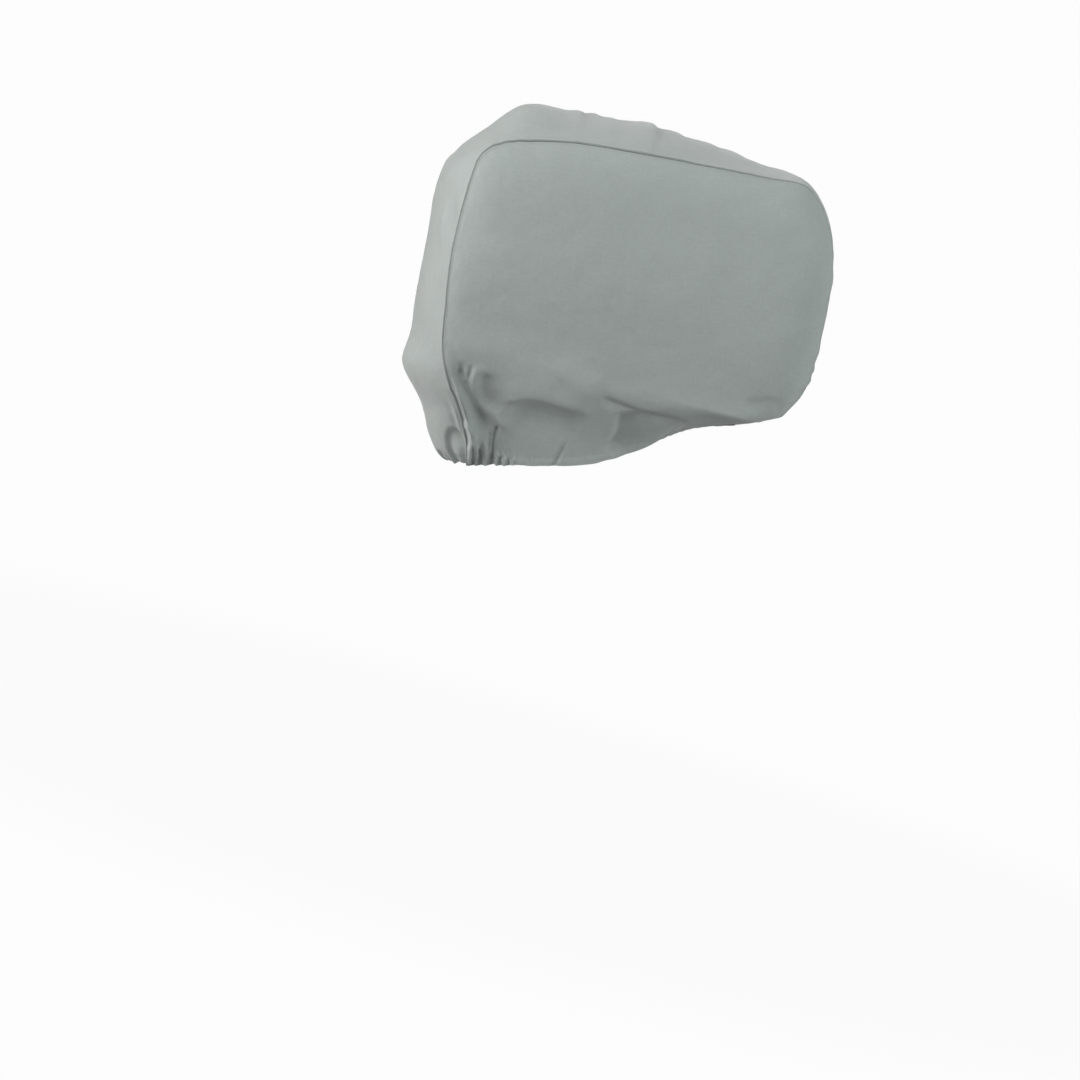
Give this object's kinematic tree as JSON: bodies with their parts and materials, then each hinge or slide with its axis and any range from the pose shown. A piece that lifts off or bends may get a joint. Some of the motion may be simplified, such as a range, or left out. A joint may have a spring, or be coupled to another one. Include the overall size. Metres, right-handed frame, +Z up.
{
  "type": "outboard motor cover",
  "caption": "Hollow fitted cloth cover in its worn shape: a long centre gusset between two side panels, drawn in by a gathered elastic hem around a slanted mouth.",
  "frame": {"origin": "inner face of the cloth under the top of the cover, in the middle plane and at the middle of its length, where the covered motor's top carries it", "axes": "+X forward along the length of the cover, +Y to port, +Z up"},
  "size_m": [0.6996, 0.436, 0.6548],
  "materials": {
    "cover_cloth": "matt grey woven polyester with a fine plain weave"
  },
  "bodies": {
    "root": {"centre_gusset": "cover_cloth", "side_panel_starboard": "cover_cloth", "side_panel_port": "cover_cloth"}
  },
  "joints": []
}
